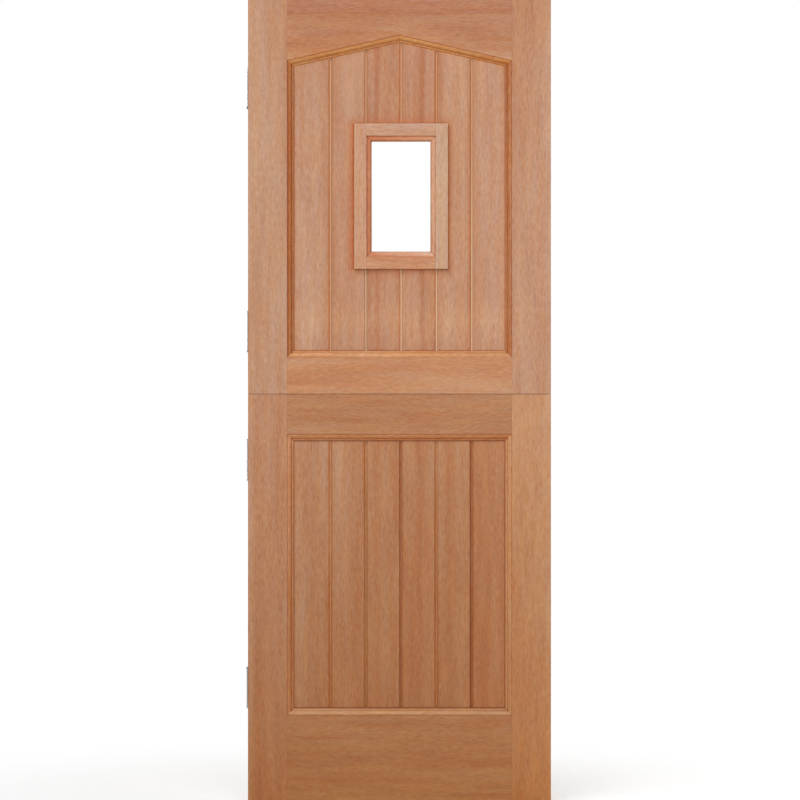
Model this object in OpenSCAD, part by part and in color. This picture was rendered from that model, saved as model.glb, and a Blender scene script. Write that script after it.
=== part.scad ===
// Stable door: two planked leaves hung one above the other, the upper one with a small glazing frame.
// Lengths are in millimetres. X runs across the door, Y from its outside to its inside, and Z upwards.
// The origin is at the foot of the lower leaf, in the middle of its width and of its thickness.

/* [Leaves] */
// Width of both leaves
door_w = 762; // [686:1:915]
// Height from the foot of the lower leaf to the head of the upper leaf
door_h = 2032; // [1981:1:2100]
// Thickness of the stiles and rails
leaf_t = 44; // [40:1:54]
// Height of the joint between the leaves, seen from outside
joint_z = 1031; // [960:1:1060]
// Open joint above the lower leaf
joint_gap = 1; // [0.5:0.5:3]
// Height of the rebate in which the upper leaf closes on the lower one
rebate_h = 12; // [8:1:16]
// Open joint between the upright faces of the rebate
rebate_gap = 0.5; // [0.3:0.1:1.5]

/* [Stiles and rails] */
// Face width of a stile
stile_w = 98; // [85:1:120]
// Height of the bottom rail
bottom_rail_h = 223; // [190:1:240]
// Height of the lower leaf's top rail, seen from outside
lock_rail_h = 100; // [92:1:120]
// Height of the upper leaf's bottom rail, seen from outside
meeting_rail_h = 92; // [86:1:110]
// Height of the arched rail and its cap, beside the stiles
top_rail_h = 161.5; // [150:0.5:180]
// Rise of the pointed arch from the stiles to the middle
arch_rise = 64; // [40:1:75]
// Height of the cap strip that is glued on the arched rail
cap_h = 43.5; // [30:0.5:55]

/* [Joinery] */
// Thickness of the boards and tenons, which is the width of the panel groove
board_t = 14; // [12:1:16]
// Depth of the panel groove
groove_d = 10; // [8:1:12]
// Distance that a board's end stays short of the groove's floor
board_play = 1; // [0.5:0.1:1.5]
// Height of the haunch beside a tenon
haunch_h = 30; // [20:1:34]
// Height between the two tenons of the bottom rail
tenon_gap = 43; // [30:1:60]
// Thick end of a wedge
wedge_t = 5; // [3:0.5:7]
// Length of a wedge
wedge_l = 60; // [40:1:70]

/* [Boards] */
// Distance between the joints of the boards
board_pitch = 89; // [80:0.5:93]
// Distance of the middle joint, and of the glazing frame's middle, from the leaf's middle
middle_x = 4; // [0:1:8]
// Width and depth of the chamfer along a board's edge
board_chamfer = 3.5; // [2:0.5:4]
// Open joint between the upper leaf's boards, where the tongue shows
upper_board_gap = 3.5; // [0.5:0.5:6]
// Open joint between the lower leaf's boards
lower_board_gap = 3.5; // [0.5:0.5:5]
// Thickness of a tongue
tongue_t = 5; // [4:0.5:6]
// Depth to which a tongue enters the next board
tongue_d = 6; // [4:1:10]
// Open space on each side of a tongue, and past its tip
tongue_play = 0.2; // [0.1:0.1:0.5]

/* [Mouldings] */
// Width of the moulding round a panel
mould_w = 16; // [15:0.5:24]
// Width of the flat top beside the stile
flat_w = 4; // [2:0.5:6]
// Height of the flat top above the boards
ovolo_h = 12; // [11:0.5:14]
// Radius of the quarter round that falls from the flat top
ovolo_r = 8; // [5:0.5:9]
// Height of the fillet at the moulding's inner edge
fillet_h = 4; // [2:0.5:6]
// Width of the fine groove that runs round the panel beside the moulding
quirk_w = 2; // [1:0.5:4]
// Depth of that groove
quirk_d = 1.5; // [1:0.5:3]

/* [Glazing frame] */
// Width over the frame
light_w = 236; // [220:1:260]
// Height over the frame
light_h = 366; // [300:1:420]
// Face width of a frame member
member_w = 31; // [28:1:40]
// Thickness of the frame
member_t = 38; // [32:1:40]
// Length of the stub tenons of the frame's rails
stub_l = 12; // [8:1:16]
// Thickness of the stub tenons
stub_t = 12; // [8:1:16]
// Distance of a stub tenon from its rail's edges
stub_inset = 3; // [1:0.5:5]
// Width of a glazing bead
glass_bead_w = 13; // [9:0.5:16]
// Thickness of a glazing bead
glass_bead_t = 8; // [7:0.5:11]
// Thickness of the bead's thin edge
glass_bead_edge = 3; // [2:0.5:5]
// Space between the beads for a sealed glass unit
glass_space = 12; // [10:1:16]
// Hairline left open at a bead's mitre
mitre_gap = 0.4; // [0.1:0.1:0.5]

/* [Hinges] */
// Height of a hinge
hinge_h = 100; // [90:1:110]
// Distance from a rail to the hinge beside it
hinge_off = 16; // [10:1:30]
// Width of a hinge plate
plate_w = 30; // [26:1:36]
// Thickness of a hinge plate
plate_t = 3; // [2.5:0.5:4]
// Open joint between the leaf and its jamb, and between the two plates of a hinge
hinge_gap = 2; // [1.5:0.5:4]
// Outer radius of a knuckle
knuckle_r = 5.5; // [5.5:0.5:7]
// Distance between the knuckles and the inside face of the leaf
knuckle_off = 0.5; // [0.5:0.1:2]
// Height of the open joint between two knuckles
knuckle_gap = 0.3; // [0.3:0.1:0.6]
// Radius of a hinge pin
pin_r = 3; // [2.5:0.5:3.5]
// Space round the pin in its bore
pin_play = 0.05; // [0.02:0.01:0.1]
// Radius of the pin's two heads
pin_head_r = 4.5; // [4:0.5:5.5]
// Height of a pin head
pin_head_h = 2.5; // [1.5:0.5:4]
// Distance between the two rows of screws
screw_rows = 70; // [60:1:76]
// Distance between the screws of a row
screw_cols = 14; // [12:1:15]
// Radius of a screw's shank
screw_r = 2.2; // [1.8:0.1:2.6]
// Radius of a screw's head
screw_head_r = 4.2; // [3.6:0.1:4.6]
// Depth of a screw's head
screw_head_h = 2; // [1.5:0.1:2.2]
// Length of a screw
screw_l = 32; // [20:1:40]
// Space round a screw in its hole
screw_play = 0.05; // [0.02:0.01:0.1]

/* [Hidden] */
lower_boards = 6;
upper_boards = 6;
knuckles = 5;
lower_edges = ["bottom", "right", "top", "left"];
upper_edges = ["bottom", "right", "arch_right", "arch_left", "left"];
$fn = 48;

// Colours
stile_colour = "#c19170";
rail_colour = "#c28e69";
board_colour = "#bd8862";
moulding_colour = "#b98254";
frame_colour = "#cb9c74";
bead_colour = "#c88260";
steel_colour = "#b9bcc0";

// Sizes that cuts run past a face, so that they open it
over = 1;

// Widths
half_w = door_w / 2;
half_t = leaf_t / 2;
opening = door_w - 2 * stile_w;
half_opening = opening / 2;

// Heights
lower_head = joint_z - joint_gap / 2;
lower_shoulder = lower_head - rebate_h;
upper_foot = joint_z + joint_gap / 2;
upper_lip = upper_foot - rebate_h;
lock_rail_z = lower_head - lock_rail_h;
meeting_rail_top = upper_foot + meeting_rail_h;
spring_z = door_h - top_rail_h;
cap_z = door_h - cap_h;

// Panel outlines, seen from outside and listed anticlockwise from the lower left corner
lower_outline = [
    [-half_opening, bottom_rail_h], [half_opening, bottom_rail_h],
    [half_opening, lock_rail_z], [-half_opening, lock_rail_z]
];
upper_outline = [
    [-half_opening, meeting_rail_top], [half_opening, meeting_rail_top],
    [half_opening, spring_z], [0, spring_z + arch_rise], [-half_opening, spring_z]
];

// Each tenon is a lowest and a highest level
double_tenon_h = (bottom_rail_h - groove_d - haunch_h - tenon_gap) / 2;
lower_tenons = [
    [haunch_h, haunch_h + double_tenon_h],
    [bottom_rail_h - groove_d - double_tenon_h, bottom_rail_h - groove_d],
    [lock_rail_z + groove_d, lower_shoulder - haunch_h]
];
arch_slope = norm([half_opening, arch_rise]) / half_opening;
arch_haunch_z = spring_z + groove_d * arch_slope + board_play;
upper_tenons = [
    [upper_foot + haunch_h, meeting_rail_top - groove_d],
    [arch_haunch_z, cap_z - haunch_h]
];

// Glazing frame, halfway up the panel from its foot to the point of its arch
light_z = (meeting_rail_top + spring_z + arch_rise - light_h) / 2;
light_left = middle_x - light_w / 2;
light_right = middle_x + light_w / 2;
light_head = light_z + light_h;
light_outline = [[light_left, light_z], [light_right, light_z], [light_right, light_head], [light_left, light_head]];
glass_bead_r = glass_bead_t - glass_bead_edge;
stub_h = member_w - groove_d - 2 * stub_inset;
sill_stub_z = light_z + groove_d + stub_inset;
head_stub_z = light_head - groove_d - stub_inset - stub_h;

// Hinges
pin_x = -half_w - hinge_gap / 2;
pin_y = half_t + knuckle_off + knuckle_r;
knuckle_h = (hinge_h - (knuckles - 1) * knuckle_gap) / knuckles;
bore_r = pin_r + pin_play;
screw_hole_r = screw_r + screw_play;
screw_tip_h = 6;
screw_tip_r = 0.4;
recess_w = 0.9;
lower_hinges = [bottom_rail_h + hinge_off, lock_rail_z - hinge_off - hinge_h];
upper_hinges = [meeting_rail_top + hinge_off, spring_z - hinge_off - hinge_h];
hinges = concat(lower_hinges, upper_hinges);

// Outline arithmetic
function unit(v) = v / norm(v);
function inward(p, i) =
    let (d = unit(p[(i + 1) % len(p)] - p[i]))
    [-d[1], d[0]];
function inset(p, d) = [
    for (i = [0 : len(p) - 1])
        let (a = inward(p, (i + len(p) - 1) % len(p)), b = inward(p, i))
        p[i] + d * (a + b) / (1 + a * b)
];

// Shapes drawn seen from outside, as thick as t and centred in the leaf
module through(t) {
    rotate([90, 0, 0]) translate([0, 0, -t / 2]) linear_extrude(t) children();
}

// Shapes drawn seen from the door's side, as long as given along X
module along_x(x0, length) {
    translate([x0, 0, 0]) rotate([90, 0, 90]) linear_extrude(length) children();
}

// Side views of the two leaves, which close on each other in a rebate
module lower_side() {
    polygon([
        [-half_t, 0], [half_t, 0], [half_t, lower_shoulder], [-rebate_gap / 2, lower_shoulder],
        [-rebate_gap / 2, lower_head], [-half_t, lower_head]
    ]);
}

module upper_side() {
    polygon([
        [-half_t, upper_foot], [rebate_gap / 2, upper_foot], [rebate_gap / 2, upper_lip],
        [half_t, upper_lip], [half_t, door_h], [-half_t, door_h]
    ]);
}

// A length of a leaf's side view between two levels, as thick as t
module member(x0, x1, z0, z1, t) {
    along_x(x0, x1 - x0) intersection() {
        children();
        translate([-t / 2, z0]) square([t, z1 - z0]);
    }
}

// A rail between the stiles, with haunches that fill the stiles' grooves
module rail(z0, z1, haunch_z0, haunch_z1) {
    member(-half_opening, half_opening, z0, z1, leaf_t) children();
    member(-half_opening - groove_d, half_opening + groove_d, haunch_z0, haunch_z1, board_t) children();
}

// A tenon that runs through both stiles
module tenon(levels) {
    translate([-half_w, -board_t / 2, levels[0]]) cube([door_w, board_t, levels[1] - levels[0]]);
}

// The groove that holds the boards of a panel
module panel_groove(outline) {
    through(board_t) polygon(inset(outline, -groove_d));
}

// The hole for a tenon in the left stile, wider at its mouth for the wedges
module mortise(levels) {
    through(board_t) polygon([
        [-half_opening + over, levels[0]], [-half_opening + over, levels[1]],
        [-half_w + wedge_l, levels[1]], [-half_w, levels[1] + wedge_t], [-half_w - over, levels[1] + wedge_t],
        [-half_w - over, levels[0] - wedge_t], [-half_w, levels[0] - wedge_t], [-half_w + wedge_l, levels[0]]
    ]);
}

// A pair of wedges on the tenon's two edges, in the left stile
module wedge_pair(levels) {
    through(board_t) {
        polygon([[-half_w, levels[1]], [-half_w + wedge_l, levels[1]], [-half_w, levels[1] + wedge_t]]);
        polygon([[-half_w, levels[0]], [-half_w, levels[0] - wedge_t], [-half_w + wedge_l, levels[0]]]);
    }
}

module wedges(tenons) {
    for (levels = tenons) {
        wedge_pair(levels);
        mirror([1, 0, 0]) wedge_pair(levels);
    }
}

// The left stile of a leaf, with its panel groove and mortises
module stile(tenons) {
    difference() {
        along_x(-half_w, stile_w) children();
        translate([-half_opening - groove_d, -board_t / 2, -over])
            cube([groove_d + over, board_t, door_h + 2 * over]);
        for (levels = tenons) mortise(levels);
    }
}

// Places of a hinge's screws, on the face of a leaf plate
module at_screws(z0) {
    for (row = [-1, 1], col = [-1, 1])
        translate([-half_w, half_t - plate_w / 2 + col * screw_cols / 2, z0 + hinge_h / 2 + row * screw_rows / 2])
            rotate([0, 90, 0]) children();
}

// What is cut out of the hinge stile for its hinges and their screws
module hinge_cuts(levels) {
    for (z0 = levels) {
        translate([-half_w - over, half_t - plate_w, z0]) cube([plate_t + over, plate_w + over, hinge_h]);
        at_screws(z0) cylinder(h = screw_l + over, r = screw_hole_r);
    }
}

// A plate of a hinge in the leaf's edge; first is its lowest knuckle
module hinge_plate(z0, first) {
    difference() {
        union() {
            translate([-half_w, half_t - plate_w, z0]) cube([plate_t, plate_w, hinge_h]);
            for (k = [first : 2 : knuckles - 1]) translate([0, 0, z0 + k * (knuckle_h + knuckle_gap)]) {
                translate([-half_w, half_t - over, 0]) cube([plate_t, pin_y - half_t + over, knuckle_h]);
                translate([pin_x, pin_y, 0]) cylinder(h = knuckle_h, r = knuckle_r);
            }
        }
        translate([pin_x, pin_y, z0 - over]) cylinder(h = hinge_h + 2 * over, r = bore_r);
        at_screws(z0) {
            translate([0, 0, -over]) cylinder(h = plate_t + 2 * over, r = screw_hole_r);
            cylinder(h = screw_head_h, r1 = screw_head_r, r2 = screw_hole_r);
        }
    }
}

// A countersunk screw with a cross recess, its head at the origin and its point up
module screw() {
    difference() {
        union() {
            cylinder(h = screw_head_h, r1 = screw_head_r - screw_play, r2 = screw_r);
            cylinder(h = screw_l - screw_tip_h, r = screw_r);
            translate([0, 0, screw_l - screw_tip_h]) cylinder(h = screw_tip_h, r1 = screw_r, r2 = screw_tip_r);
        }
        for (turn = [0, 90]) rotate([0, 0, turn])
            translate([-screw_head_r / 2, -recess_w / 2, -over]) cube([screw_head_r, recess_w, over + screw_head_h / 2]);
    }
}

// The pin of one hinge, with a button head at each end
module hinge_pin(z0) {
    translate([pin_x, pin_y, z0]) {
        cylinder(h = hinge_h, r = pin_r);
        translate([0, 0, hinge_h]) cylinder(h = pin_head_h, r = pin_head_r);
        translate([0, 0, -pin_head_h]) cylinder(h = pin_head_h, r = pin_head_r);
    }
}

// Line of the joint left of board i, counted from 1
function board_joint(i, count) =
    i == 1 ? -half_opening - groove_d + board_play :
    i == count + 1 ? half_opening + groove_d - board_play :
    middle_x + (i - 1 - count / 2) * board_pitch;

// Plan of board i, with chamfered edges, a tongue on its right and a groove on its left
module board_plan(i, count, gap) {
    first = i == 1;
    last = i == count;
    x0 = board_joint(i, count) + (first ? 0 : gap / 2);
    x1 = board_joint(i + 1, count) - (last ? 0 : gap / 2);
    c0 = first ? 0 : board_chamfer;
    c1 = last ? 0 : board_chamfer;
    h = board_t / 2;
    difference() {
        union() {
            polygon([
                [x0 + c0, -h], [x1 - c1, -h], [x1, -h + c1], [x1, h - c1],
                [x1 - c1, h], [x0 + c0, h], [x0, h - c0], [x0, -h + c0]
            ]);
            if (!last) translate([x1 - over, -tongue_t / 2]) square([over + gap + tongue_d, tongue_t]);
        }
        if (!first)
            translate([x0 - over, -tongue_t / 2 - tongue_play])
                square([over + tongue_d + tongue_play, tongue_t + 2 * tongue_play]);
    }
}

// Board i of a panel, cut to the outline that its groove holds
module board(i, count, gap, outline) {
    intersection() {
        linear_extrude(door_h) board_plan(i, count, gap);
        through(leaf_t) polygon(inset(outline, board_play - groove_d));
    }
}

// The fine groove beside the mouldings, in both faces of the boards
module panel_quirk(outline) {
    difference() {
        through(board_t + 2 * over) difference() {
            polygon(inset(outline, mould_w));
            polygon(inset(outline, mould_w + quirk_w));
        }
        through(board_t - 2 * quirk_d) polygon(outline);
    }
}

module lower_board(i) {
    color(board_colour) difference() {
        board(i, lower_boards, lower_board_gap, lower_outline);
        panel_quirk(lower_outline);
    }
}

// Board i of the upper panel between two levels, cut back where the glazing frame holds it
module upper_board(i, z0 = 0, z1 = door_h) {
    color(board_colour) difference() {
        intersection() {
            board(i, upper_boards, upper_board_gap, upper_outline);
            translate([-half_w, -half_t, z0]) cube([door_w, leaf_t, z1 - z0]);
        }
        through(leaf_t + over) polygon(inset(light_outline, groove_d - board_play));
        panel_quirk(upper_outline);
    }
}

// Section of the moulding: x runs from the stile into the panel, y up from the boards
module moulding_section() {
    square([flat_w, ovolo_h]);
    square([flat_w + ovolo_r, ovolo_h - ovolo_r]);
    square([mould_w, fillet_h]);
    translate([flat_w, ovolo_h - ovolo_r]) intersection() {
        circle(ovolo_r);
        square(ovolo_r);
    }
}

// Section of a glazing bead: x runs from the frame into the glass, y up from the glass
module glazing_bead_section() {
    intersection() {
        square([glass_bead_w, glass_bead_t]);
        union() {
            square([glass_bead_w - glass_bead_r, glass_bead_t]);
            square([glass_bead_w, glass_bead_edge]);
            translate([glass_bead_w - glass_bead_r, glass_bead_edge]) circle(glass_bead_r);
        }
    }
}

// One side of an outline in a moulding w wide, mitred at both ends and drawn seen from outside
module mitred_side(outline, i, w, height, gap = 0) {
    count = len(outline);
    start = outline[i];
    end = outline[(i + 1) % count];
    inner = inset(outline, w);
    back = gap / 2 * sqrt(2) * unit(end - start);
    turn = atan2(end[1] - start[1], end[0] - start[0]);
    intersection() {
        translate([start[0], start[1], 0]) rotate([0, 0, turn]) rotate([90, 0, 90])
            linear_extrude(norm(end - start)) children();
        linear_extrude(height + over)
            polygon([start + back, end - back, inner[(i + 1) % count] - back, inner[i] + back]);
    }
}

module outside_moulding(outline, i) {
    color(moulding_colour) rotate([90, 0, 0]) translate([0, 0, board_t / 2])
        mitred_side(outline, i, mould_w, ovolo_h) moulding_section();
}

module inside_moulding(outline, i) {
    mirror([0, 1, 0]) outside_moulding(outline, i);
}

// A stub tenon at the left end of a rail of the glazing frame, from level z0 up
module stub(z0, height) {
    translate([light_left + member_w - stub_l, -stub_t / 2, z0]) cube([stub_l + over, stub_t, height]);
}

// The groove round the glazing frame, in which the boards end
module frame_groove() {
    through(board_t) difference() {
        polygon(inset(light_outline, -over));
        polygon(inset(light_outline, groove_d));
    }
}

module glazing_frame_left() {
    color(frame_colour) difference() {
        translate([light_left, -member_t / 2, light_z]) cube([member_w, member_t, light_h]);
        frame_groove();
        stub(sill_stub_z, stub_h);
        stub(head_stub_z, stub_h);
    }
}

module glazing_frame_right() {
    translate([2 * middle_x, 0, 0]) mirror([1, 0, 0]) glazing_frame_left();
}

module frame_rail(z0, stub_z) {
    color(frame_colour) difference() {
        union() {
            translate([light_left + member_w, -member_t / 2, z0])
                cube([light_w - 2 * member_w, member_t, member_w]);
            stub(stub_z, stub_h);
            translate([2 * middle_x, 0, 0]) mirror([1, 0, 0]) stub(stub_z, stub_h);
        }
        frame_groove();
    }
}

module outside_glazing_beads() {
    opening_outline = inset(light_outline, member_w);
    color(bead_colour) rotate([90, 0, 0]) translate([0, 0, glass_space / 2])
        for (i = [0 : len(opening_outline) - 1])
            mitred_side(opening_outline, i, glass_bead_w, glass_bead_t, mitre_gap) glazing_bead_section();
}

module inside_glazing_beads() {
    mirror([0, 1, 0]) outside_glazing_beads();
}

module lower_hinge_stile() {
    color(stile_colour) difference() {
        stile(lower_tenons) lower_side();
        hinge_cuts(lower_hinges);
    }
}

module lower_lock_stile() {
    color(stile_colour) mirror([1, 0, 0]) stile(lower_tenons) lower_side();
}

module bottom_rail() {
    color(rail_colour) {
        difference() {
            rail(0, bottom_rail_h, 0, bottom_rail_h - groove_d) lower_side();
            panel_groove(lower_outline);
        }
        tenon(lower_tenons[0]);
        tenon(lower_tenons[1]);
    }
}

module lower_top_rail() {
    color(rail_colour) {
        difference() {
            rail(lock_rail_z, lower_head, lock_rail_z + groove_d, lower_head) lower_side();
            panel_groove(lower_outline);
        }
        tenon(lower_tenons[2]);
    }
}

module lower_tenon_wedges() {
    color(stile_colour) wedges(lower_tenons);
}

module upper_hinge_stile() {
    color(stile_colour) difference() {
        stile(upper_tenons) upper_side();
        hinge_cuts(upper_hinges);
    }
}

module upper_lock_stile() {
    color(stile_colour) mirror([1, 0, 0]) stile(upper_tenons) upper_side();
}

module meeting_rail() {
    color(rail_colour) {
        difference() {
            rail(upper_lip, meeting_rail_top, upper_lip, meeting_rail_top - groove_d) upper_side();
            panel_groove(upper_outline);
        }
        tenon(upper_tenons[0]);
    }
}

module arched_rail() {
    color(rail_colour) {
        difference() {
            through(leaf_t) polygon([
                upper_outline[4], upper_outline[3], upper_outline[2],
                [half_opening, cap_z], [-half_opening, cap_z]
            ]);
            panel_groove(upper_outline);
        }
        for (side = [0, 1]) mirror([side, 0, 0]) {
            member(-half_opening - groove_d, over - half_opening, arch_haunch_z, cap_z, board_t) upper_side();
            member(-half_w, over - half_opening, upper_tenons[1][0], upper_tenons[1][1], board_t) upper_side();
        }
    }
}

module rail_cap() {
    color(rail_colour) rail(cap_z, door_h, cap_z, door_h) upper_side();
}

module upper_tenon_wedges() {
    color(stile_colour) wedges(upper_tenons);
}

module leaf_plate(i) {
    color(steel_colour) hinge_plate(hinges[i - 1], 1);
}

module jamb_plate(i) {
    color(steel_colour) translate([2 * pin_x, 0, 0]) mirror([1, 0, 0]) hinge_plate(hinges[i - 1], 0);
}

module hinge_screws(levels) {
    color(steel_colour) for (z0 = levels) at_screws(z0) screw();
}

module hinge_pins() {
    color(steel_colour) for (z0 = hinges) hinge_pin(z0);
}

lower_hinge_stile();
lower_lock_stile();
lower_top_rail();
bottom_rail();
lower_tenon_wedges();
for (i = [1 : lower_boards]) {
    lower_board(i);
}
for (i = [0 : len(lower_edges) - 1]) {
    outside_moulding(lower_outline, i);
    inside_moulding(lower_outline, i);
}
upper_hinge_stile();
upper_lock_stile();
meeting_rail();
arched_rail();
rail_cap();
upper_tenon_wedges();
for (i = [1, 2, 5, 6]) {
    upper_board(i);
}
for (i = [3, 4]) {
    upper_board(i, z0 = light_z + light_h / 2);
    upper_board(i, z1 = light_z + light_h / 2);
}
for (i = [0 : len(upper_edges) - 1]) {
    outside_moulding(upper_outline, i);
    inside_moulding(upper_outline, i);
}
glazing_frame_left();
glazing_frame_right();
frame_rail(light_head - member_w, head_stub_z);  // glazing_frame_head
frame_rail(light_z, sill_stub_z);  // glazing_frame_sill
outside_glazing_beads();
inside_glazing_beads();
for (i = [1 : len(hinges)]) {
    leaf_plate(i);
    jamb_plate(i);
}
hinge_screws(lower_hinges);  // lower_hinge_screws
hinge_screws(upper_hinges);  // upper_hinge_screws
hinge_pins();
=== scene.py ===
# Stable door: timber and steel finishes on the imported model, in a plain white studio.
# Lengths are in metres. X runs across the door, Y from its outside to its inside, and Z upwards.
import math
import random

import bpy
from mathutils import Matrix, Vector


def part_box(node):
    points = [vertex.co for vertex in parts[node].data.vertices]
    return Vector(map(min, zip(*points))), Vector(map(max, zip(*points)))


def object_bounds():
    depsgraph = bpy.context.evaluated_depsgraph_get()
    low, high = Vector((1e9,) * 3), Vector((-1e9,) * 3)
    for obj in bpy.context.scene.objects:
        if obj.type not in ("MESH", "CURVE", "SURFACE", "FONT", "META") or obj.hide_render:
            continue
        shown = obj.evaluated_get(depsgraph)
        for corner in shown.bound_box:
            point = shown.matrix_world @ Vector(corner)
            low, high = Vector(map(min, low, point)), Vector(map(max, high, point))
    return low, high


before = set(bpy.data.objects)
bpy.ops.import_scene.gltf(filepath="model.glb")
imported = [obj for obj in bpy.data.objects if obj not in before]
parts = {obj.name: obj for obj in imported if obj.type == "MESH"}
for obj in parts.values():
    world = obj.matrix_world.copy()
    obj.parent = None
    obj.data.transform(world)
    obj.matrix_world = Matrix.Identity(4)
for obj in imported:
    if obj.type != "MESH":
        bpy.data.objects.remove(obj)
cad_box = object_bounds()

MM = 0.001
WHITE = (1.0, 1.0, 1.0, 1.0)

# Turns of the grain from upright
UPRIGHT = 0.0
LEVEL = math.pi / 2

# The pointed arch, from the mouldings under it
arch_low, arch_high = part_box("upper_outside_moulding_arch_left")
ARCH_RUN = arch_high.x - arch_low.x
ARCH_RISE = 64 * MM
ARCH_SLOPE = math.atan2(ARCH_RISE, ARCH_RUN)

# The upper boards' outer edges in sight, and how far each board's tongue stands out at its right
panel_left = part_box("upper_outside_moulding_left")[1].x
panel_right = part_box("upper_outside_moulding_right")[0].x
tongue_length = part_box("lower_board_1")[1].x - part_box("lower_board_2")[0].x

# The faces of the tongues stand this far from the middle of the boards, or less
TONGUE_DEPTH = 2.9 * MM

# The sideways part of the normal of a joint's slope, and how far it may differ from that
SLOPE_NORMAL = 0.6
SLOPE_NORMAL_REACH = 0.3

# Tones are in sRGB, from 0 to 255. Tints are shares of linear red, green and blue, with an alpha of 1.

# The tone of each timber piece, and the turn of its grain from upright
TIMBERS = {
    "lower_hinge_stile": ((193, 137, 99), UPRIGHT),
    "lower_lock_stile": ((200, 141, 96), UPRIGHT),
    "lower_top_rail": ((184, 124, 79), LEVEL),
    "bottom_rail": ((191, 137, 96), LEVEL),
    "lower_tenon_wedges": ((196, 146, 111), LEVEL),
    "lower_board_1": ((188, 132, 92), UPRIGHT),
    "lower_board_2": ((188, 130, 88), UPRIGHT),
    "lower_board_3": ((186, 127, 84), UPRIGHT),
    "lower_board_4": ((188, 129, 86), UPRIGHT),
    "lower_board_5": ((188, 130, 87), UPRIGHT),
    "lower_board_6": ((188, 126, 81), UPRIGHT),
    "upper_hinge_stile": ((195, 144, 109), UPRIGHT),
    "upper_lock_stile": ((197, 142, 106), UPRIGHT),
    "meeting_rail": ((199, 139, 95), LEVEL),
    "arched_rail": ((187, 125, 85), LEVEL),
    "rail_cap": ((185, 121, 85), LEVEL),
    "upper_tenon_wedges": ((196, 146, 111), LEVEL),
    "upper_board_1": ((196, 144, 110), UPRIGHT),
    "upper_board_2": ((194, 139, 104), UPRIGHT),
    "upper_board_3": ((191, 133, 97), UPRIGHT),
    "upper_board_4": ((193, 136, 101), UPRIGHT),
    "upper_board_5": ((198, 144, 108), UPRIGHT),
    "upper_board_6": ((199, 146, 112), UPRIGHT),
    "glazing_frame_left": ((204, 150, 115), UPRIGHT),
    "glazing_frame_right": ((204, 159, 125), UPRIGHT),
    "glazing_frame_head": ((203, 152, 119), LEVEL),
    "glazing_frame_sill": ((204, 143, 102), LEVEL),
}

# The same for the mouldings outside, and their twins inside: the timber's tone, with painted light and shade by the
# side each faces, the bottom ones paler as painted light from above and the others deeper as painted shade
MOULDING_TONES_AND_PAINTED_LIGHT = {
    "lower_bottom": ((220, 168, 130), LEVEL),
    "lower_right": ((206, 147, 98), UPRIGHT),
    "lower_top": ((199, 128, 74), LEVEL),
    "lower_left": ((206, 144, 98), UPRIGHT),
    "upper_bottom": ((219, 160, 109), LEVEL),
    "upper_right": ((188, 119, 70), UPRIGHT),
    "upper_arch_right": ((208, 137, 72), LEVEL + ARCH_SLOPE),
    "upper_arch_left": ((208, 137, 72), LEVEL - ARCH_SLOPE),
    "upper_left": ((188, 114, 58), UPRIGHT),
}

# The glazing beads: the tones of the bars at the left and right, the left deeper as painted shade and the right paler
# as painted light, and the tints of the level bars, the sill's paler as painted light from above and the head's warmer
# as painted shade
SHADED_LEFT_BEAD_TONE = (200, 123, 80)
LIT_RIGHT_BEAD_TONE = (214, 159, 121)
SILL_BEAD_PAINTED_LIGHT = (1.12, 1.24, 1.42, 1.0)
HEAD_BEAD_PAINTED_SHADE = (1.10, 0.98, 0.84, 1.0)

# How far the timber's figure stands out in the mouldings and beads, next to 1 elsewhere
MOULDING_FIGURE = 1.3
BEAD_FIGURE = 1.2

# The layers of noise in the timber: how fine each is across the grain and along it, and its detail
LAYERS = {
    "wander": (6, 2.2, 1),
    "bands": (22, 1.4, 2),
    "streaks": (75, 6, 2),
    "flecks": (230, 62, 2),
    "fibre": (1100, 45, 2),
    "pores": (900, 60, 1),
    "blush": (60, 8, 3),
}

# Each piece's grain is taken from a place of its own, up to this far from the origin on each axis
GRAIN_SPREAD = 9

# How far the grain sways
GRAIN_SWAY = 30 * MM

# What three of the layers add to the figure, the range that it covers, and how far it moves the tone either way along
# the line on which this timber's colour varies: its blue far more than its red
FIGURE_SHARES = {"bands": 0.4, "streaks": 0.25, "flecks": 0.35}
FIGURE_RANGE = (0.38, 0.62)
FIGURE_DEPTH = 25
FIGURE_LINE = (0.3, 0.58, 0.76)

# The blush: the range of its layer, and the tints at the two ends
BLUSH_RANGE = (0.35, 0.65)
ORANGE_BLUSH = (1.035, 1.02, 0.95, 1.0)
MAUVE_BLUSH = (0.965, 0.98, 1.05, 1.0)

# The fibres: the range of their layer, how dark and light they are, and their height as a share of a pore's depth
FIBRE_RANGE = (0.25, 0.75)
FIBRE_SHADES = (0.95, 1.05)
FIBRE_HEIGHT = 0.4

# The pores: the range of their layer, their tone, and how strongly it shows
PORE_RANGE = (0.6, 0.72)
PORE_TONE = (128, 70, 44)
PORE_STRENGTH = 0.3

# The range in which most of a noise lies
NOISE_RANGE = (0.3, 0.7)

# The timber's surface
TIMBER_ROUGHNESS = (0.5, 0.62)
TIMBER_SPECULAR = 0.35
TIMBER_RELIEF = 0.15 * MM
TIMBER_BUMP = 0.6

# End grain: where the normal's part along the grain starts and ends to count, the fineness of the rings on each axis
# and of the specks, the range of the rings' noise, and their shades and the specks'
END_GRAIN_RANGE = (0.75, 0.9)
RING_SCALE = (60, 220, 0)
RING_RANGE = (0.35, 0.65)
RING_SHADES = (0.5, 0.66)
SPECK_SCALE = 700
SPECK_SHADES = (0.8, 1.15)
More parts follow.
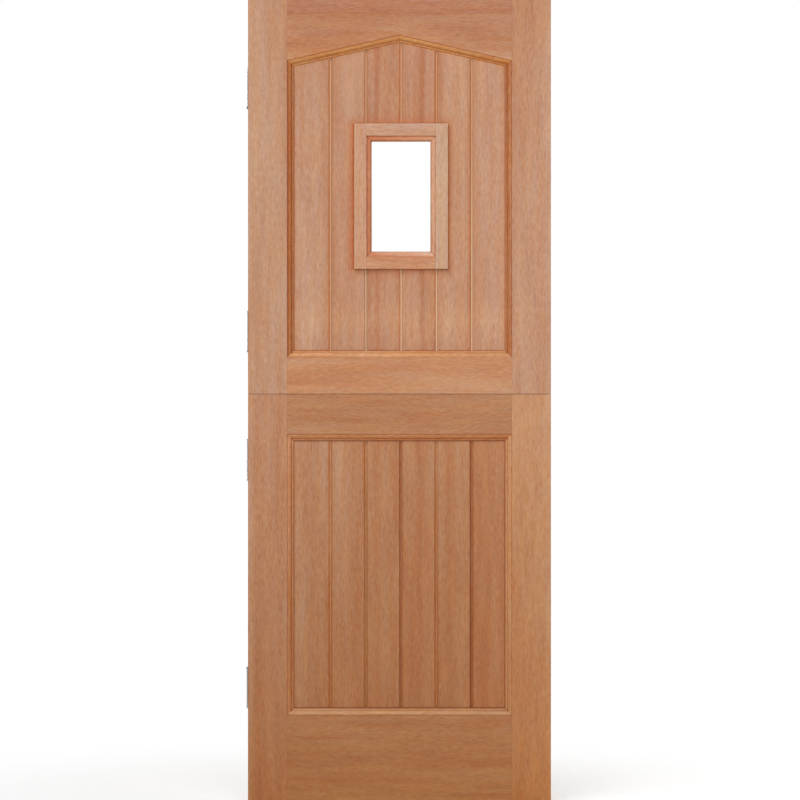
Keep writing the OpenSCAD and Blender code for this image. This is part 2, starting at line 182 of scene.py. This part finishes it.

# Painted shade in the timber's corners and grooves, deepest where least open sky is seen: the tints at their deepest,
# how far the rays go that look for open sky, the shares of it that count as none and as all, and the number of rays
CORNER_PAINTED_SHADE = (0.92, 0.76, 0.58, 1.0)
BOARD_CORNER_PAINTED_SHADE = (0.95, 0.70, 0.44, 1.0)
MOULDING_CORNER_PAINTED_SHADE = (0.66, 0.40, 0.24, 1.0)
ARCH_MOULDING_CORNER_PAINTED_SHADE = (0.86, 0.60, 0.38, 1.0)
LOWER_MOULDING_CORNER_PAINTED_SHADE = (0.82, 0.60, 0.42, 1.0)
BEAD_CORNER_PAINTED_SHADE = (0.80, 0.54, 0.36, 1.0)
CORNER_REACH = 8 * MM
CORNER_RANGE = (0.35, 0.95)
CORNER_RAYS = 8

# The joint at the right of each upper board: the pale tone of its tongue, a painted highlight where light reaches into
# the joint, at the foot of the leaf and at its top
UPPER_TONGUE_HIGHLIGHTS = {
    1: ((206, 152, 113), (207, 161, 127)),
    2: ((200, 172, 142), (195, 147, 112)),
    3: ((215, 175, 139), (205, 151, 111)),
    4: ((214, 176, 143), (203, 142, 99)),
    5: ((214, 178, 143), (203, 157, 121)),
}

# Between these heights the tongues turn from the one tone to the other
UPPER_JOINT_TURN = (1.39, 1.71)

# The slopes of the upper joints: the tint of those that face right, painted light that lifts their shade, and how far
# the others, which face the light, take the tongue's tone as a painted highlight
UPPER_SLOPE_PAINTED_LIGHT = (1.26, 1.12, 0.94, 1.0)
SLOPE_PAINTED_HIGHLIGHT = 0.3

# The tint of the joint at the right of each lower board, on its right-facing slope and its tongue: painted shade in
# the groove where it is under 1, painted light where it is over 1
LOWER_JOINT_LIGHT_AND_SHADE = {
    1: (1.15, 1.04, 0.85, 1.0),
    2: (1.0, 0.95, 0.76, 1.0),
    3: (0.86, 0.70, 0.60, 1.0),
    4: (1.05, 0.97, 0.80, 1.0),
    5: (0.80, 0.62, 0.54, 1.0),
}

# The lower leaf's timber is darker towards its foot, as painted shade where less light falls, and warmer there in
# tone: the tint there, the height at which it ends, and the curve of its fall
FOOT_SHADE_AND_TONE = (0.66, 0.50, 0.26, 1.0)
FOOT_TINT_TOP = 0.95
FOOT_TINT_CURVE = 0.9

# Painted shade on the upper boards close round the glazing frame, which stands out from them: the tint at its deepest,
# its reach, the curve of its fall, how far its outline lies from the frame's, and its share on the inside face
FRAME_PAINTED_SHADE = (0.94, 0.58, 0.25, 1.0)
FRAME_TINT_REACH = 23 * MM
FRAME_TINT_CURVE = 1.5
FRAME_TINT_SHIFT = (-2 * MM, 0.0, 0.0)
FRAME_TINT_INSIDE = 0.4

# Above and below the glazing frame that painted shade reaches so many times as far, and has this share of its strength
FRAME_TINT_STRETCH = 1.6
FRAME_TINT_ABOVE = 0.5

# A distance that is divided by counts as this at least
TINY = 0.1 * MM

# The upper boards are paler round this height, as far as the reach above and below it
PALE_HEIGHT = 1216 * MM
PALE_REACH = 60 * MM
PALE_TINT = (1.09, 1.13, 1.10, 1.0)

# Painted light on the upper boards that lifts the shade in the groove under the arch moulding, this far below the arch
UNDER_ARCH = 17.2 * MM
UNDER_ARCH_REACH = 4.2 * MM
UNDER_ARCH_PAINTED_LIGHT = (1.5, 1.7, 1.55, 1.0)

# The arched rail is paler close above the arch
ARCH_REACH = 45 * MM
ARCH_TINT = (1.14, 1.24, 1.24, 1.0)

# The broad bands along a piece in which it is darker or paler: the axis that a band crosses, how far it runs from
# the piece's middle, its reach on either side, and how far its tone moves along the figure's line
TONE_BANDS_AND_PAINTED_SHADE = {
    "lower_hinge_stile": [("X", -43 * MM, 12 * MM, 14), ("X", -26 * MM, 20 * MM, -6)],
    "lower_lock_stile": [("X", -36 * MM, 24 * MM, -10), ("X", 45 * MM, 14 * MM, 14)],
    "lower_top_rail": [("Z", 27 * MM, 18 * MM, -6), ("Z", -3 * MM, 20 * MM, 3)],
    "bottom_rail": [("Z", 17 * MM, 65 * MM, -9)],
    "lower_board_1": [("X", -19 * MM, 20 * MM, 13)],
    "lower_board_2": [("X", -26 * MM, 25 * MM, 9)],
    "lower_board_3": [("X", -17 * MM, 18 * MM, -12)],
    "lower_board_4": [("X", -6 * MM, 13 * MM, -10)],
    "lower_board_5": [("X", -13 * MM, 28 * MM, -19)],
    "lower_board_6": [("X", -16 * MM, 22 * MM, -12)],
    "upper_hinge_stile": [("X", -27 * MM, 48 * MM, 13), ("Z", 500 * MM, 400 * MM, -12)],
    "upper_lock_stile": [("X", 40 * MM, 36 * MM, 11), ("Z", 500 * MM, 240 * MM, -13)],
    "meeting_rail": [("Z", 39 * MM, 22 * MM, 8), ("Z", 11 * MM, 12 * MM, -5), ("Z", -18 * MM, 14 * MM, -5)],
    "arched_rail": [("X", -150 * MM, 190 * MM, -9), ("X", 270 * MM, 130 * MM, 9)],
    "rail_cap": [("Z", -19 * MM, 14 * MM, -10)],
    "upper_board_2": [("X", 14 * MM, 18 * MM, -8)],
    "upper_board_3": [("X", -21 * MM, 10 * MM, -24)],
    "upper_board_4": [("X", 5 * MM, 13 * MM, -27)],
    "upper_board_5": [("X", 6 * MM, 22 * MM, -7)],
    # Painted shadow: a dark line on the left moulding beside the stile's step, and one on the bottom moulding at its
    # edge by the panel
    "upper_outside_moulding_left": [("X", -5 * MM, 2.8 * MM, -85)],
    "upper_outside_moulding_bottom": [("Z", 9 * MM, 4.5 * MM, -30)],
}

# How far a band sways, as a share of its reach, and how often in a metre
BAND_SWAY = 0.8
BAND_SWAY_RATE = 4

# The strips along the left and right edges of the upper boards, which are darker as painted shade beside the joints
# and the mouldings: how far the tone moves along the figure's line and the reach of each, and the curve of their fall
EDGE_PAINTED_SHADE = {
    "upper_board_1": ((-28, 12 * MM), (-45, 34 * MM)),
    "upper_board_2": ((-34, 13 * MM), (-30, 10 * MM)),
    "upper_board_3": ((-12, 10 * MM), (0, 10 * MM)),
    "upper_board_4": ((-11, 24 * MM), (-15, 10 * MM)),
    "upper_board_5": ((-22, 22 * MM), (-43, 21 * MM)),
    "upper_board_6": ((-15, 22 * MM), (-18, 20 * MM)),
}
EDGE_CURVE = 1.2

# The steel's shade and roughness, on the screws and on the plates and pins
SCREW_STEEL = (0.90, 0.40)
HINGE_STEEL = (0.88, 0.46)

# The brush lines in the steel: their fineness across and along, how far the roughness varies with them, their two
# shades, and their depth and strength as a relief
BRUSH_SCALE = (4000, 60)
BRUSH_ROUGHNESS = 0.06
BRUSH_SHADES = (0.95, 1.03)
BRUSH_RELIEF = 0.02 * MM
BRUSH_BUMP = 0.4

# The widths of the arrises, and their number of segments
TIMBER_ARRIS = 0.4 * MM
FINE_ARRIS = 0.3 * MM
SCREW_ARRIS = 0.15 * MM
ARRIS_SEGMENTS = 2

# Edges that turn by more than this are eased, after points this close are joined and faces this flat are made one
ARRIS_ANGLE = math.radians(40)
WELD_REACH = 0.005 * MM
FLAT_ANGLE = math.radians(0.5)

# The floor: its radius and the one at which it starts to fade, its number of sides, the fineness of its specks, their
# two colours, its roughness and its own glow
FLOOR_RADIUS = 1.6
FLOOR_FADE = 0.45
FLOOR_SIDES = 96
FLOOR_SPECK_SCALE = 30
FLOOR_COLOURS = ((0.84, 0.84, 0.83, 1.0), (0.88, 0.88, 0.87, 1.0))
FLOOR_ROUGHNESS = 0.9
FLOOR_GLOW = 0.2

# How strongly the white surround lights the door, as a share of how bright it looks to the camera
FILL = 0.2

# The lights: place, target, size and power
SOFTBOXES = {
    "key": ((-2.2, -3.8, 4.9), (0, 0, 1.5), 3.0, 130),
    "front": ((0.3, -3.4, 1.6), (0, 0, 1.3), 2.4, 62),
    "back": ((1.6, 2.6, 2.8), (0, 0, 1.1), 2.0, 100),
}

# The camera: its distance from the outside face, the width that it takes in there, the point at the middle of its
# view, and the width of its sensor in millimetres
CAMERA_DISTANCE = 8
CAMERA_WIDTH = 2.0119
CAMERA_X = 1.3 * MM
CAMERA_Z = 1.016
CAMERA_SENSOR = 36


def linear(tone):
    """A tone in sRGB, from 0 to 255, as linear red, green, blue and alpha."""
    shares = [c / 255 for c in tone]
    return [s / 12.92 if s <= 0.04045 else ((s + 0.055) / 1.055) ** 2.4 for s in shares] + [1.0]


def scaled(colour, factor):
    """A linear colour made lighter or darker."""
    return [c * factor for c in colour[:3]] + [1.0]


def ratio(colour, base):
    """The tint that turns one linear colour, the base, into another."""
    return [c / b for c, b in zip(colour, base)]


def figured(tone, amount):
    """A tone moved along the figure's line, as a linear colour."""
    return linear([min(255, max(0, c + amount * share)) for c, share in zip(tone, FIGURE_LINE)])


def whole_name(name):
    """The name of a board without the word for its part above or below the light."""
    return name.removesuffix("_above").removesuffix("_below")


class Shader:
    """A material's node tree, with short calls that add nodes to it."""

    def __init__(self, name):
        self.material = bpy.data.materials.new(name)
        self.material.use_nodes = True
        self.tree = self.material.node_tree
        self.tree.nodes.clear()

    def add(self, kind, inputs=None, **settings):
        """A new node, with its inputs linked where they are sockets and set where they are values."""
        node = self.tree.nodes.new("ShaderNode" + kind)
        for key, value in settings.items():
            setattr(node, key, value)
        for key, value in (inputs or {}).items():
            self.feed(node.inputs[key], value)
        return node

    def feed(self, socket, value):
        """Links an input to another node's output, or sets it."""
        if isinstance(value, bpy.types.NodeSocket):
            self.tree.links.new(value, socket)
        else:
            socket.default_value = value

    def maths(self, operation, *values):
        """The result of an operation on numbers."""
        return self.add("Math", dict(enumerate(values)), operation=operation).outputs[0]

    def vector(self, operation, *values):
        """The result of an operation on vectors."""
        return self.add("VectorMath", dict(enumerate(values)), operation=operation).outputs[0]

    def place(self):
        """The place on a piece."""
        return self.add("TexCoord").outputs["Object"]

    def normal(self):
        """The direction in which a piece's surface faces."""
        return self.add("TexCoord").outputs["Normal"]

    def along(self, axis, vector):
        """One coordinate of a vector."""
        return self.add("SeparateXYZ", {0: vector}).outputs[axis]

    def length(self, vector):
        """The length of a vector."""
        return self.add("VectorMath", {0: vector}, operation="LENGTH").outputs["Value"]

    def turned(self, vector, turn):
        """The vector turned about Y, which brings the grain upright."""
        if not turn:
            return vector
        inputs = {"Vector": vector, "Angle": turn}
        return self.add("VectorRotate", inputs, rotation_type="Y_AXIS").outputs[0]

    def stretched(self, vector, across, along):
        """The vector with its two directions across the grain and the one along it scaled."""
        return self.vector("MULTIPLY", vector, (across, across, along))

    def times(self, vector, factor):
        """A vector or colour multiplied by a number."""
        return self.add("VectorMath", {0: vector, "Scale": factor}, operation="SCALE").outputs[0]

    def noise(self, vector, detail=2.0):
        """A noise that varies from about 0 to 1 over distances of about 1."""
        return self.add("TexNoise", {"Vector": vector, "Scale": 1.0, "Detail": detail}).outputs["Fac"]

    def ranged(self, value, low, high, to_low=0.0, to_high=1.0, smooth=True):
        """The value carried from one range to another, and held at its ends."""
        inputs = {"Value": value, "From Min": low, "From Max": high, "To Min": to_low, "To Max": to_high}
        kind = "SMOOTHSTEP" if smooth else "LINEAR"
        return self.add("MapRange", inputs, interpolation_type=kind).outputs["Result"]

    def falling(self, value, reach, smooth=False):
        """1 where the value is 0 or less, falling to 0 where it is as large as the reach."""
        return self.ranged(value, 0.0, reach, 1.0, 0.0, smooth)

    def mixed(self, factor, a, b, kind="RGBA", blend="MIX"):
        """A mixture of two colours, or of two vectors, where a factor of 1 gives the second."""
        node = self.add("Mix", data_type=kind)
        if kind == "RGBA":
            node.blend_type = blend
        sockets = {s.name: s for s in node.inputs if s.enabled}
        for name, value in (("Factor", factor), ("A", a), ("B", b)):
            self.feed(sockets[name], value)
        return [s for s in node.outputs if s.enabled][0]

    def tinted(self, colour, tint, share=1.0):
        """The colour multiplied by a tint, as far as a share from 0 to 1 says."""
        return self.mixed(share, colour, tint, blend="MULTIPLY")

    def finish(self, shader):
        """The material, with a shader as its surface."""
        output = self.tree.nodes.new("ShaderNodeOutputMaterial")
        self.tree.links.new(shader.outputs[0], output.inputs["Surface"])
        return self.material


def grain_vector(shader, turn, seed):
    """The place on a piece, turned so that its grain runs along Z, and moved so that no two pieces match."""
    draw = random.Random(seed)
    offset = tuple(draw.uniform(-GRAIN_SPREAD, GRAIN_SPREAD) for _ in range(3))
    return shader.vector("ADD", shader.turned(shader.place(), turn), offset)


def end_grain_mask(shader, turn):
    """1 on the faces that cut across the grain."""
    along = shader.along("Z", shader.turned(shader.normal(), turn))
    return shader.ranged(shader.maths("ABSOLUTE", along), *END_GRAIN_RANGE)


def layer(shader, grain, kind):
    """One of the layers of noise in the timber."""
    across, along, detail = LAYERS[kind]
    return shader.noise(shader.stretched(grain, across, along), detail=detail)


def timber_layers(shader, grain, tone, figure):
    """Colour, roughness and height of planed timber; figure is how far its figure stands out."""
    wander = shader.maths("SUBTRACT", layer(shader, grain, "wander"), 0.5)
    shift = shader.add("CombineXYZ", {0: shader.maths("MULTIPLY", wander, GRAIN_SWAY)}).outputs[0]
    grain = shader.vector("ADD", grain, shift)

    layers = {kind: layer(shader, grain, kind) for kind in ("bands", "streaks", "flecks", "fibre", "pores", "blush")}
    field = 0.0
    for kind, share in FIGURE_SHARES.items():
        field = shader.maths("MULTIPLY_ADD", layers[kind], share, field)
    depth = FIGURE_DEPTH * figure
    place_in_figure = shader.ranged(field, *FIGURE_RANGE, smooth=False)
    colour = shader.mixed(place_in_figure, figured(tone, -depth), figured(tone, depth))
    blush = shader.ranged(layers["blush"], *BLUSH_RANGE, smooth=False)
    colour = shader.tinted(colour, shader.mixed(blush, ORANGE_BLUSH, MAUVE_BLUSH))
    colour = shader.times(colour, shader.ranged(layers["fibre"], *FIBRE_RANGE, *FIBRE_SHADES))
    pores = shader.ranged(layers["pores"], *PORE_RANGE)
    colour = shader.mixed(shader.maths("MULTIPLY", pores, PORE_STRENGTH), colour, linear(PORE_TONE))
    height = shader.maths("SUBTRACT", shader.maths("MULTIPLY", layers["fibre"], FIBRE_HEIGHT), pores)
    roughness = shader.ranged(layers["bands"], *NOISE_RANGE, *TIMBER_ROUGHNESS)
    return colour, roughness, height


def end_grain(shader, grain, tone):
    """The colour of a face across the grain: darker, with rings and open pores."""
    rings = shader.ranged(shader.noise(shader.vector("MULTIPLY", grain, RING_SCALE)), *RING_RANGE)
    dark, light = [scaled(linear(tone), shade) for shade in RING_SHADES]
    specks = shader.ranged(shader.noise(shader.times(grain, SPECK_SCALE)), *NOISE_RANGE, *SPECK_SHADES)
    return shader.times(shader.mixed(rings, dark, light), specks)


def timber_surface(shader, colour, roughness, height):
    """The finished material of a timber piece."""
    bump = shader.add("Bump", {"Height": height, "Distance": TIMBER_RELIEF, "Strength": TIMBER_BUMP})
    inputs = {
        "Base Color": colour, "Roughness": roughness, "Normal": bump.outputs[0],
        "Specular IOR Level": TIMBER_SPECULAR}
    return shader.finish(shader.add("BsdfPrincipled", inputs))


def foot_shade_and_tone(shader, colour):
    """The colour, darker the nearer it is to the foot of the door as painted shade, and warmer there in tone."""
    risen = shader.ranged(shader.along("Z", shader.place()), 0.0, FOOT_TINT_TOP, smooth=False)
    risen = shader.maths("POWER", risen, FOOT_TINT_CURVE)
    return shader.tinted(colour, FOOT_SHADE_AND_TONE, shader.maths("SUBTRACT", 1.0, risen))


def painted_corner_shade(shader, colour, deepest, spared=0.0):
    """The colour with painted shade in corners and grooves, where little open sky is seen, except where spared is 1.
    """
    sky = shader.add("AmbientOcclusion", {"Distance": CORNER_REACH}, samples=CORNER_RAYS).outputs["AO"]
    clear = shader.maths("MAXIMUM", shader.ranged(sky, *CORNER_RANGE, smooth=False), spared)
    return shader.tinted(colour, deepest, shader.maths("SUBTRACT", 1.0, clear))


def strip(shader, axis, centre, reach, curve=1.0, sway=0.0, seed=0):
    """1 along a line that crosses an axis, falling to 0 at its reach on either side; the line can sway."""
    place = shader.place()
    across = shader.along(axis, place)
    if sway:
        along = shader.maths("MULTIPLY", shader.along("Z" if axis == "X" else "X", place), BAND_SWAY_RATE)
        wander = shader.noise(shader.add("CombineXYZ", {0: float(seed), 2: along}).outputs[0], detail=1)
        across = shader.maths("MULTIPLY_ADD", shader.maths("SUBTRACT", wander, 0.5), sway, across)
    away = shader.maths("ABSOLUTE", shader.maths("SUBTRACT", across, centre))
    return shader.maths("POWER", shader.falling(away, reach, smooth=sway > 0), curve)


def bands_and_painted_shade(shader, colour, tone, name, seed):
    """The colour of a piece, with its broad bands, the painted shadow lines on two of the upper mouldings, and the
    darker strips of painted shade along the edges of an upper board.
    """
    low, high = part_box(name)
    middle = (low + high) / 2
    whole = whole_name(name)
    strips = []
    for axis, offset, reach, amount in TONE_BANDS_AND_PAINTED_SHADE.get(whole, []):
        centre = middle["XYZ".index(axis)] + offset
        strips.append((strip(shader, axis, centre, reach, sway=BAND_SWAY * reach, seed=seed), amount))
    # Painted shade along the edges of an upper board
    if whole in EDGE_PAINTED_SHADE:
        left = max(low.x, panel_left)
        right = min(high.x - tongue_length, panel_right)
        for edge, (amount, reach) in zip((left, right), EDGE_PAINTED_SHADE[whole]):
            strips.append((strip(shader, "X", edge, reach, EDGE_CURVE), amount))
    for share, amount in strips:
        colour = shader.tinted(colour, ratio(figured(tone, amount), linear(tone)), share)
    return colour


def tongue_mask(shader):
    """1 on the tongues, deep in the joints between boards."""
    depth = shader.maths("ABSOLUTE", shader.along("Y", shader.place()))
    return shader.maths("LESS_THAN", depth, TONGUE_DEPTH)


def slope_mask(shader, side):
    """1 on the slopes of the joints between boards that face right, with a side of 1, or left, with one of -1."""
    across = shader.maths("MULTIPLY", shader.along("X", shader.normal()), side)
    return shader.maths("COMPARE", across, SLOPE_NORMAL, SLOPE_NORMAL_REACH)


def painted_frame_shade(shader, colour):
    """The colour with painted shade, deeper the nearer it is to the outline of the glazing frame."""
    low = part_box("glazing_frame_left")[0]
    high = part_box("glazing_frame_right")[1]
    half = (high - low) / 2
    middle = (high + low) / 2 + Vector(FRAME_TINT_SHIFT)
    place = shader.place()

    # How far the place lies beyond the frame's outline, where 1 m takes the depth out of it
    beyond = shader.vector("ABSOLUTE", shader.vector("SUBTRACT", place, tuple(middle)))
    beyond = shader.vector("SUBTRACT", beyond, (half.x, 1.0, half.z))
    beyond = shader.vector("MAXIMUM", beyond, (0.0, 0.0, 0.0))
    beyond = shader.stretched(beyond, 1.0, 1 / FRAME_TINT_STRETCH)
    distance = shader.length(beyond)

    share = shader.maths("POWER", shader.falling(distance, FRAME_TINT_REACH), FRAME_TINT_CURVE)
    above = shader.maths("DIVIDE", shader.along("Z", beyond), shader.maths("MAXIMUM", distance, TINY))
    share = shader.maths("MULTIPLY", share, shader.ranged(above, 0.0, 1.0, 1.0, FRAME_TINT_ABOVE, smooth=False))
    inside = shader.maths("GREATER_THAN", shader.along("Y", place), 0.0)
    share = shader.maths("MULTIPLY", share, shader.ranged(inside, 0.0, 1.0, 1.0, FRAME_TINT_INSIDE, smooth=False))
    return shader.tinted(colour, FRAME_PAINTED_SHADE, share)


def above_arch(shader):
    """The height above the pointed arch."""
    place = shader.place()
    fall = shader.maths("MULTIPLY", shader.maths("ABSOLUTE", shader.along("X", place)), ARCH_RISE / ARCH_RUN)
    return shader.maths("ADD", shader.maths("SUBTRACT", shader.along("Z", place), arch_high.z), fall)


def arch_tint(shader, colour):
    """The colour of the arched rail, paler the nearer it is to the arch."""
    return shader.tinted(colour, ARCH_TINT, shader.falling(above_arch(shader), ARCH_REACH, smooth=True))


def painted_light_under_arch(shader, colour):
    """The colour of an upper board, with painted light lifting the shade in the groove under the arch moulding."""
    away = shader.maths("ABSOLUTE", shader.maths("ADD", above_arch(shader), UNDER_ARCH))
    return shader.tinted(colour, UNDER_ARCH_PAINTED_LIGHT, shader.falling(away, UNDER_ARCH_REACH))


def board_tint(shader, colour, leaf, number):
    """The colour of a board, with painted shade in its corners and the joint at its right in that joint's own painted
    light and shade; an upper board also has painted shade round the glazing frame, a paler band, and painted light in
    the groove under the arch.
    """
    joint = min(number, len(LOWER_JOINT_LIGHT_AND_SHADE))
    tongue = tongue_mask(shader)
    facing_right, facing_left = slope_mask(shader, 1), slope_mask(shader, -1)
    slopes = shader.maths("MAXIMUM", facing_right, facing_left)
    # Painted shade in the board's corners, sparing the joints' slopes and tongues
    colour = painted_corner_shade(shader, colour, BOARD_CORNER_PAINTED_SHADE, spared=shader.maths("MAXIMUM", slopes, tongue))
    if leaf == "lower":
        # Painted light and shade on the lower joint's right-facing slope and tongue
        return shader.tinted(colour, LOWER_JOINT_LIGHT_AND_SHADE[joint], shader.maths("MAXIMUM", facing_right, tongue))
    # Painted shade round the glazing frame
    colour = painted_frame_shade(shader, colour)
    # Painted light that lifts the shade on the slopes that face right
    colour = shader.tinted(colour, UPPER_SLOPE_PAINTED_LIGHT, facing_right)
    colour = shader.tinted(colour, PALE_TINT, strip(shader, "Z", PALE_HEIGHT, PALE_REACH))
    # Painted light in the groove under the arch
    colour = painted_light_under_arch(shader, colour)
    # Painted highlights on the tongues, and partly on the slopes that face left
    foot_tone, top_tone = UPPER_TONGUE_HIGHLIGHTS[joint]
    risen = shader.ranged(shader.along("Z", shader.place()), *UPPER_JOINT_TURN)
    share = shader.maths("MAXIMUM", tongue, shader.maths("MULTIPLY", facing_left, SLOPE_PAINTED_HIGHLIGHT))
    return shader.mixed(share, colour, shader.mixed(risen, linear(foot_tone), linear(top_tone)))


def timber(name, tone, turn, seed, figure=1.0, corner=CORNER_PAINTED_SHADE):
    """Planed, unfinished hardwood with its grain turned from upright by an angle."""
    shader = Shader(name)
    grain = grain_vector(shader, turn, seed)
    colour, roughness, height = timber_layers(shader, grain, tone, figure)
    colour = shader.mixed(end_grain_mask(shader, turn), colour, end_grain(shader, grain, tone))
    if name.startswith(("lower", "bottom")):
        # Painted shade towards the foot, with a warmer tone there
        colour = foot_shade_and_tone(shader, colour)
    colour = bands_and_painted_shade(shader, colour, tone, name, seed)
    if name == "arched_rail":
        colour = arch_tint(shader, colour)
    if "_board_" in name:
        leaf, _, number = name.split("_")[:3]
        colour = board_tint(shader, colour, leaf, int(number))
    else:
        # Painted shade in the piece's corners and grooves
        colour = painted_corner_shade(shader, colour, corner)
    return timber_surface(shader, colour, roughness, height)


def mitred_timber(name, seed):
    """Timber for a node of four mitred beads, whose grain follows each, in a tone that shifts from left to right,
    deeper at the left as painted shade and paler at the right as painted light, with painted light on the sill and
    painted shade on the head.
    """
    shader = Shader(name)
    low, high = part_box(name)
    middle = (low + high) / 2
    half = (high - low) / 2
    place = shader.place()

    # 1 on the level beads
    split = shader.vector("ABSOLUTE", shader.vector("SUBTRACT", place, tuple(middle)))
    beyond_x = shader.maths("SUBTRACT", shader.along("X", split), half.x)
    beyond_z = shader.maths("SUBTRACT", shader.along("Z", split), half.z)
    level = shader.maths("GREATER_THAN", beyond_z, beyond_x)

    grains = grain_vector(shader, UPRIGHT, seed), grain_vector(shader, LEVEL, seed + 1)
    grain = shader.mixed(level, *grains, kind="VECTOR")
    colour, roughness, height = timber_layers(shader, grain, SHADED_LEFT_BEAD_TONE, BEAD_FIGURE)
    # Painted light and shade: paler towards the right, and on the level bars paler at the sill and warmer at the head
    across = shader.ranged(shader.along("X", place), low.x, high.x, smooth=False)
    colour = shader.tinted(colour, ratio(linear(LIT_RIGHT_BEAD_TONE), linear(SHADED_LEFT_BEAD_TONE)), across)
    risen = shader.ranged(shader.along("Z", place), low.z, high.z, smooth=False)
    colour = shader.tinted(colour, shader.mixed(risen, SILL_BEAD_PAINTED_LIGHT, HEAD_BEAD_PAINTED_SHADE), level)
    # Painted shade in the beads' corners
    colour = painted_corner_shade(shader, colour, BEAD_CORNER_PAINTED_SHADE)
    return timber_surface(shader, colour, roughness, height)


def steel(name, shade, roughness):
    """Satin stainless steel with fine brush lines along Z."""
    shader = Shader(name)
    lines = shader.noise(shader.stretched(shader.place(), *BRUSH_SCALE))
    rough = shader.ranged(lines, *NOISE_RANGE, roughness - BRUSH_ROUGHNESS, roughness + BRUSH_ROUGHNESS)
    dark, light = [scaled([shade] * 3, factor) for factor in BRUSH_SHADES]
    bump = shader.add("Bump", {"Height": lines, "Distance": BRUSH_RELIEF, "Strength": BRUSH_BUMP})
    inputs = {
        "Base Color": shader.mixed(lines, dark, light), "Roughness": rough, "Normal": bump.outputs[0],
        "Metallic": 1.0}
    return shader.finish(shader.add("BsdfPrincipled", inputs))


def moulding(name, seed):
    """The timber of one moulding round a panel, in its side's tone with painted light and shade, and with painted
    shade in its corners.
    """
    leaf, _, edge = name.replace("_moulding_", "_").split("_", 2)
    tone, turn = MOULDING_TONES_AND_PAINTED_LIGHT[leaf + "_" + edge]
    # Each set of mouldings has its own painted corner shade
    if leaf == "lower":
        corner = LOWER_MOULDING_CORNER_PAINTED_SHADE
    elif edge.startswith("arch"):
        corner = ARCH_MOULDING_CORNER_PAINTED_SHADE
    else:
        corner = MOULDING_CORNER_PAINTED_SHADE
    return timber(name, tone, turn, seed, MOULDING_FIGURE, corner)


def dress(node, material):
    """Gives a node of the frame one material."""
    slots = parts[node].material_slots
    if not slots:
        raise SystemExit(f"{node} has no material slot")
    for slot in slots:
        slot.link = "OBJECT"
        slot.material = material


def ease(node, width):
    """Rounds the arrises of a node."""
    piece = parts[node]
    weld = piece.modifiers.new("weld", "WELD")
    weld.merge_threshold = WELD_REACH
    flat = piece.modifiers.new("flat", "DECIMATE")
    flat.decimate_type = "DISSOLVE"
    flat.angle_limit = FLAT_ANGLE
    arris = piece.modifiers.new("arris", "BEVEL")
    arris.width = width
    arris.segments = ARRIS_SEGMENTS
    arris.limit_method = "ANGLE"
    arris.angle_limit = ARRIS_ANGLE
    arris.harden_normals = True


def dress_pieces():
    """Gives every node of the frame its material and its eased arrises."""
    for seed, name in enumerate(sorted(parts)):
        whole = whole_name(name)
        if whole in TIMBERS:
            tone, turn = TIMBERS[whole]
            material, arris = timber(name, tone, turn, seed), TIMBER_ARRIS
        elif "_moulding_" in name:
            material, arris = moulding(name, seed), FINE_ARRIS
        elif name.endswith("_glazing_beads"):
            material, arris = mitred_timber(name, seed), FINE_ARRIS
        elif name.endswith("_hinge_screws"):
            material, arris = steel(name, *SCREW_STEEL), SCREW_ARRIS
        else:
            material, arris = steel(name, *HINGE_STEEL), FINE_ARRIS
        dress(name, material)
        ease(name, arris)


def floor():
    """A pale round floor under the door, which fades out towards its edge."""
    bpy.ops.mesh.primitive_circle_add(vertices=FLOOR_SIDES, radius=FLOOR_RADIUS, fill_type="NGON")
    disc = bpy.context.object
    disc.name = "studio_floor"
    shader = Shader("studio_floor")
    place = shader.place()
    specks = shader.noise(shader.times(place, FLOOR_SPECK_SCALE))
    matt = shader.add("BsdfPrincipled", {
        "Base Color": shader.mixed(specks, *FLOOR_COLOURS), "Roughness": FLOOR_ROUGHNESS,
        "Emission Color": WHITE, "Emission Strength": FLOOR_GLOW})
    clear = shader.add("BsdfTransparent")
    share = shader.ranged(shader.length(place), FLOOR_FADE, FLOOR_RADIUS)
    blend = shader.add("MixShader", {0: share, 1: matt.outputs[0], 2: clear.outputs[0]})
    disc.data.materials.append(shader.finish(blend))


def backdrop():
    """A white surround, which lights the door only as strongly as FILL says."""
    world = bpy.data.worlds.new("studio")
    world.use_nodes = True
    tree = world.node_tree
    tree.nodes.clear()
    path = tree.nodes.new("ShaderNodeLightPath")
    mix = tree.nodes.new("ShaderNodeMixShader")
    tree.links.new(path.outputs["Is Camera Ray"], mix.inputs[0])
    for place, strength in ((1, FILL), (2, 1.0)):
        background = tree.nodes.new("ShaderNodeBackground")
        background.inputs["Strength"].default_value = strength
        background.inputs["Color"].default_value = WHITE
        tree.links.new(background.outputs[0], mix.inputs[place])
    output = tree.nodes.new("ShaderNodeOutputWorld")
    tree.links.new(mix.outputs[0], output.inputs["Surface"])
    bpy.context.scene.world = world


def softbox(name, place, target, size, power):
    """A square light that faces a target."""
    data = bpy.data.lights.new(name, "AREA")
    data.shape = "RECTANGLE"
    data.size = size
    data.size_y = size
    data.energy = power
    light = bpy.data.objects.new(name, data)
    bpy.context.scene.collection.objects.link(light)
    light.location = place
    light.rotation_euler = (Vector(target) - Vector(place)).to_track_quat("-Z", "Y").to_euler()


def camera():
    """A camera that looks straight at the outside face."""
    data = bpy.data.cameras.new("camera")
    data.sensor_width = CAMERA_SENSOR
    data.lens = data.sensor_width * CAMERA_DISTANCE / CAMERA_WIDTH
    data.clip_end = 2 * CAMERA_DISTANCE
    eye = bpy.data.objects.new("camera", data)
    bpy.context.scene.collection.objects.link(eye)
    eye.location = (CAMERA_X, cad_box[0].y - CAMERA_DISTANCE, CAMERA_Z)
    eye.rotation_euler = (math.pi / 2, 0, 0)
    bpy.context.scene.camera = eye


dress_pieces()
floor()
backdrop()
for box_name, settings in SOFTBOXES.items():
    softbox(box_name, *settings)
camera()
bpy.context.scene.view_settings.view_transform = "Standard"
